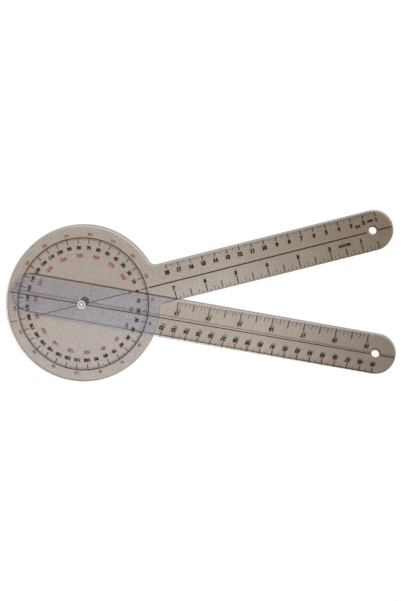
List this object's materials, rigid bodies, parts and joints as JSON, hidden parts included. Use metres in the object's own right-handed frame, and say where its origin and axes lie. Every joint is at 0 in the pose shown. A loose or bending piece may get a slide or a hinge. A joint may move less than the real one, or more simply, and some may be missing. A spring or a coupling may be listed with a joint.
{
  "type": "angle finder with arms",
  "caption": "Flat clear-plastic joint angle finder: a round degree head with a fixed ruler arm, and a swinging ruler arm that turns on a snap rivet.",
  "frame": {"origin": "on the pivot axis, at the outer face of the rivet's back head, which the tool lies on", "axes": "+X along the fixed arm towards its tip, +Z from the back of the tool to its printed front, +Y completes a right-handed frame"},
  "size_m": [0.3165, 0.1729, 0.0057],
  "materials": {
    "clear_sheet": "clear sheet, glossy both faces, faint warm grey tint",
    "white_nylon": "white moulded nylon, satin"
  },
  "bodies": {
    "fixed": {"dial_arm": "clear_sheet", "rivet_sleeve": "white_nylon", "rivet_pin": "white_nylon"},
    "swinging": {"swing_arm": "clear_sheet"}
  },
  "joints": [
    {"name": "pivot", "type": "hinge", "parent": "fixed", "child": "swinging", "pos_m": [0, 0, 0.00355], "axis": [0, 0, 1], "continuous": true}
  ]
}
